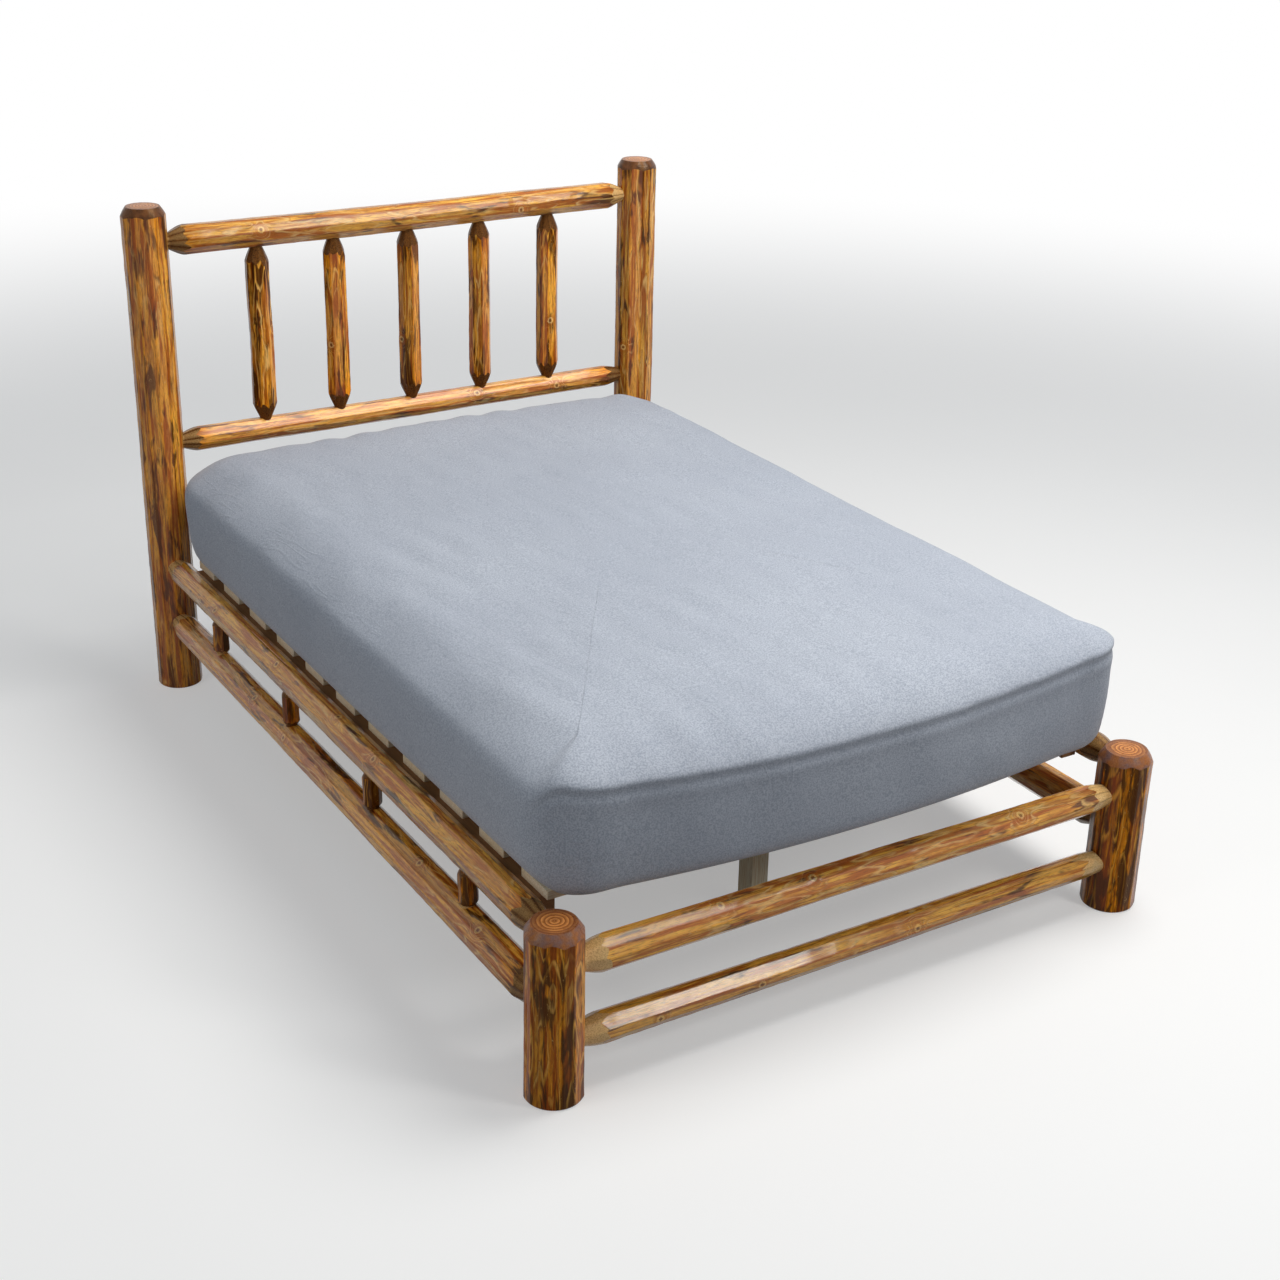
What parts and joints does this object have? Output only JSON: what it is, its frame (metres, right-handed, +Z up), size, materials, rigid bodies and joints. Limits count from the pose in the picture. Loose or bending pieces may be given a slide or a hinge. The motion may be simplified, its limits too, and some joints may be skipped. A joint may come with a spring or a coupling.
{
  "type": "rustic log bed",
  "caption": "Full-size bed of hewn pine logs: posts, tenoned rails and spindles, boards on cleats over a centre beam, and a mattress in a pale fitted sheet that lifts off.",
  "frame": {"origin": "on the floor, under the middle of the bed", "axes": "+Z up, +Y from the foot of the bed to its head, +X to the right seen from the foot"},
  "size_m": [1.469, 2.109, 1.23],
  "materials": {
    "post_wood": "hewn pine, toasted and gloss lacquered",
    "rail_wood": "hewn pine, toasted and gloss lacquered",
    "spindle_wood": "hewn pine, toasted and gloss lacquered",
    "board_wood": "raw planed pine",
    "mattress_cover": "quilted ticking",
    "sheet_cotton": "pale blue-grey woven cotton",
    "screw_steel": "dark phosphate"
  },
  "bodies": {
    "bed_frame": {"centre_beam": "board_wood", "centre_leg_foot": "board_wood", "centre_leg_head": "board_wood", "centre_leg_middle": "board_wood", "cleat_left": "board_wood", "cleat_right": "board_wood", "cleat_screws": "screw_steel", "foot_post_left": "post_wood", "foot_post_right": "post_wood", "foot_rail_lower": "rail_wood", "foot_rail_upper": "rail_wood", "head_post_left": "post_wood", "head_post_right": "post_wood", "head_rail_lower": "rail_wood", "head_rail_top": "rail_wood", "head_spindle_1": "spindle_wood", "head_spindle_2": "spindle_wood", "head_spindle_3": "spindle_wood", "head_spindle_4": "spindle_wood", "head_spindle_5": "spindle_wood", "leg_screws": "screw_steel", "side_rail_lower_left": "rail_wood", "side_rail_lower_right": "rail_wood", "side_rail_upper_left": "rail_wood", "side_rail_upper_right": "rail_wood", "side_spindle_left_1": "spindle_wood", "side_spindle_left_2": "spindle_wood", "side_spindle_left_3": "spindle_wood", "side_spindle_left_4": "spindle_wood", "side_spindle_right_1": "spindle_wood", "side_spindle_right_2": "spindle_wood", "side_spindle_right_3": "spindle_wood", "side_spindle_right_4": "spindle_wood", "slat_01": "board_wood", "slat_02": "board_wood", "slat_03": "board_wood", "slat_04": "board_wood", "slat_05": "board_wood", "slat_06": "board_wood", "slat_07": "board_wood", "slat_08": "board_wood", "slat_09": "board_wood", "slat_10": "board_wood", "slat_11": "board_wood", "slat_screws": "screw_steel"},
    "mattress": {"mattress": "mattress_cover", "fitted_sheet": "sheet_cotton"}
  },
  "joints": [
    {"name": "mattress_lift", "type": "slide", "parent": "bed_frame", "child": "mattress", "axis": [0, 0, 1], "range_m": [0, 0.3]}
  ]
}
